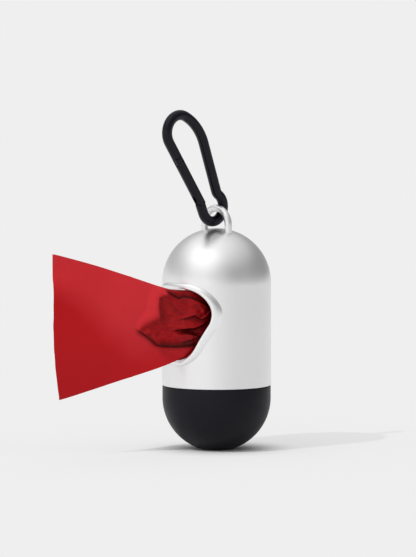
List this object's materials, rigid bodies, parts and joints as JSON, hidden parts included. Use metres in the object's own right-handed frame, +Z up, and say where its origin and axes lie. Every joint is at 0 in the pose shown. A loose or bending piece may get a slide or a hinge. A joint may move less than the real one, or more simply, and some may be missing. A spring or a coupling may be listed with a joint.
{
  "type": "dog poop bag dispenser",
  "caption": "Capsule dispenser for a roll of pet waste bags, with a screw cap, a lipped side opening, a wire bail and a snap hook.",
  "frame": {"origin": "centre of the small flat under the cap, on which the capsule stands", "axes": "+Z up along the capsule's axis, -Y out of the dispensing opening, X along the bail's plane"},
  "size_m": [0.0429, 0.0879, 0.1318],
  "materials": {
    "silver_shell": "satin silver lacquer on moulded plastic",
    "silver_lip": "smooth silver lacquer",
    "bail_wire": "bright drawn steel wire",
    "retainer": "moulded grey plastic",
    "black_cap": "fine matt black plastic",
    "liner_rubber": "soft matt rubber",
    "film": "thin red film, slightly translucent, crumpled",
    "card": "wound grey-brown card",
    "black_hook": "matt black coating on aluminium",
    "pin_steel": "turned steel"
  },
  "bodies": {
    "capsule": {"shell": "silver_shell", "bail": "bail_wire", "bail_retainer": "retainer", "opening_bezel": "silver_lip"},
    "liner": {"cap_liner": "liner_rubber"},
    "cap": {"end_cap": "black_cap"},
    "roll": {"bag_roll": "film", "roll_core": "card"},
    "bag": {"pulled_bag": "film"},
    "hook": {"carabiner_body": "black_hook", "gate_pin": "pin_steel"},
    "gate": {"carabiner_gate": "black_hook", "latch_pin": "pin_steel", "gate_spring": "pin_steel"},
    "plunger": {"spring_plunger": "pin_steel"}
  },
  "joints": [
    {"name": "cap_travel", "type": "slide", "parent": "capsule", "child": "liner", "axis": [0, 0, -1], "range_m": [0, 0.009]},
    {"name": "cap_turn", "type": "hinge", "parent": "liner", "child": "cap", "pos_m": [0, 0, 0.0248], "axis": [0, 0, -1], "range_deg": [0, 540]},
    {"name": "bag_pull", "type": "slide", "parent": "capsule", "child": "bag", "axis": [-0.5, -0.866, 0], "range_m": [0, 0.012]},
    {"name": "roll_spin", "type": "hinge", "parent": "capsule", "child": "roll", "pos_m": [0, 0, 0.035], "axis": [0, 0, 1], "range_deg": [-49.2, 0]},
    {"name": "hook_swing", "type": "hinge", "parent": "capsule", "child": "hook", "pos_m": [0, 0, 0.09308], "axis": [1, 0, 0], "range_deg": [-80, 20]},
    {"name": "gate_swing", "type": "hinge", "parent": "hook", "child": "gate", "pos_m": [0, -0.00934, 0.0965], "axis": [-1, 0, 0], "range_deg": [0, 22], "stiffness_Nm_per_rad": 0.02, "springref_deg": -28.65},
    {"name": "plunger_stroke", "type": "slide", "parent": "gate", "child": "plunger", "axis": [0, -0.5686, 0.8226], "range_m": [0, 0.0002]}
  ],
  "couplings": [
    {"joint": "cap_travel", "follows": "cap_turn", "m_per_rad": 0.00095493},
    {"joint": "roll_spin", "follows": "bag_pull", "rad_per_m": -71.429},
    {"joint": "plunger_stroke", "follows": "gate_swing", "m_per_rad": 0.0005}
  ]
}
